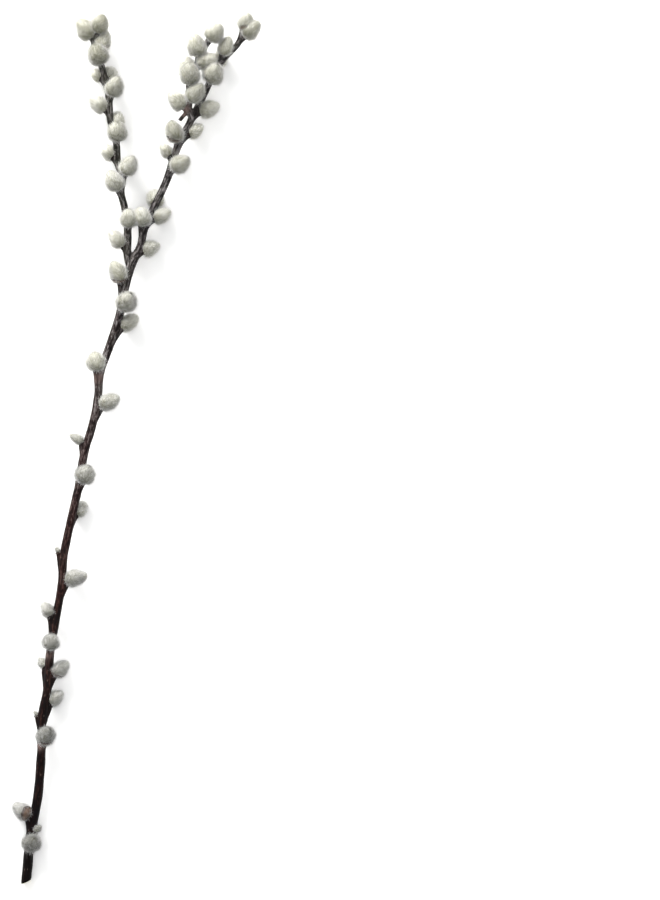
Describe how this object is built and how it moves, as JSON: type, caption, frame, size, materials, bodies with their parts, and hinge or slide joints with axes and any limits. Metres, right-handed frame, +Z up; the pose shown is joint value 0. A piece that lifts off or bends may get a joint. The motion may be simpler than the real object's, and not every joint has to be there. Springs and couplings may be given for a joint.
{
  "type": "willow branch",
  "caption": "Forked branch of pussy willow with furry grey-white catkins on a dark, zigzag stem, cut at the foot and lying on its side.",
  "frame": {"origin": "centre of the bounding box's footprint, on the surface that the branch lies on", "axes": "+Y from the cut end towards the tips, +Z up from the surface, +X to the right seen from above with the tips away from the viewer"},
  "size_m": [0.1344, 0.4726, 0.0216],
  "materials": {
    "bark": "satin purple-brown bark, near black towards the foot, with fine lengthwise lines and pale pores",
    "catkin": "silky silver-white fur over a grey-green body",
    "bud_scale": "thin, glossy red-brown bud scale",
    "cut_wood": "fresh pale cut wood with a small pith"
  },
  "bodies": {
    "root": {"willow_branch": "bark"}
  },
  "joints": []
}
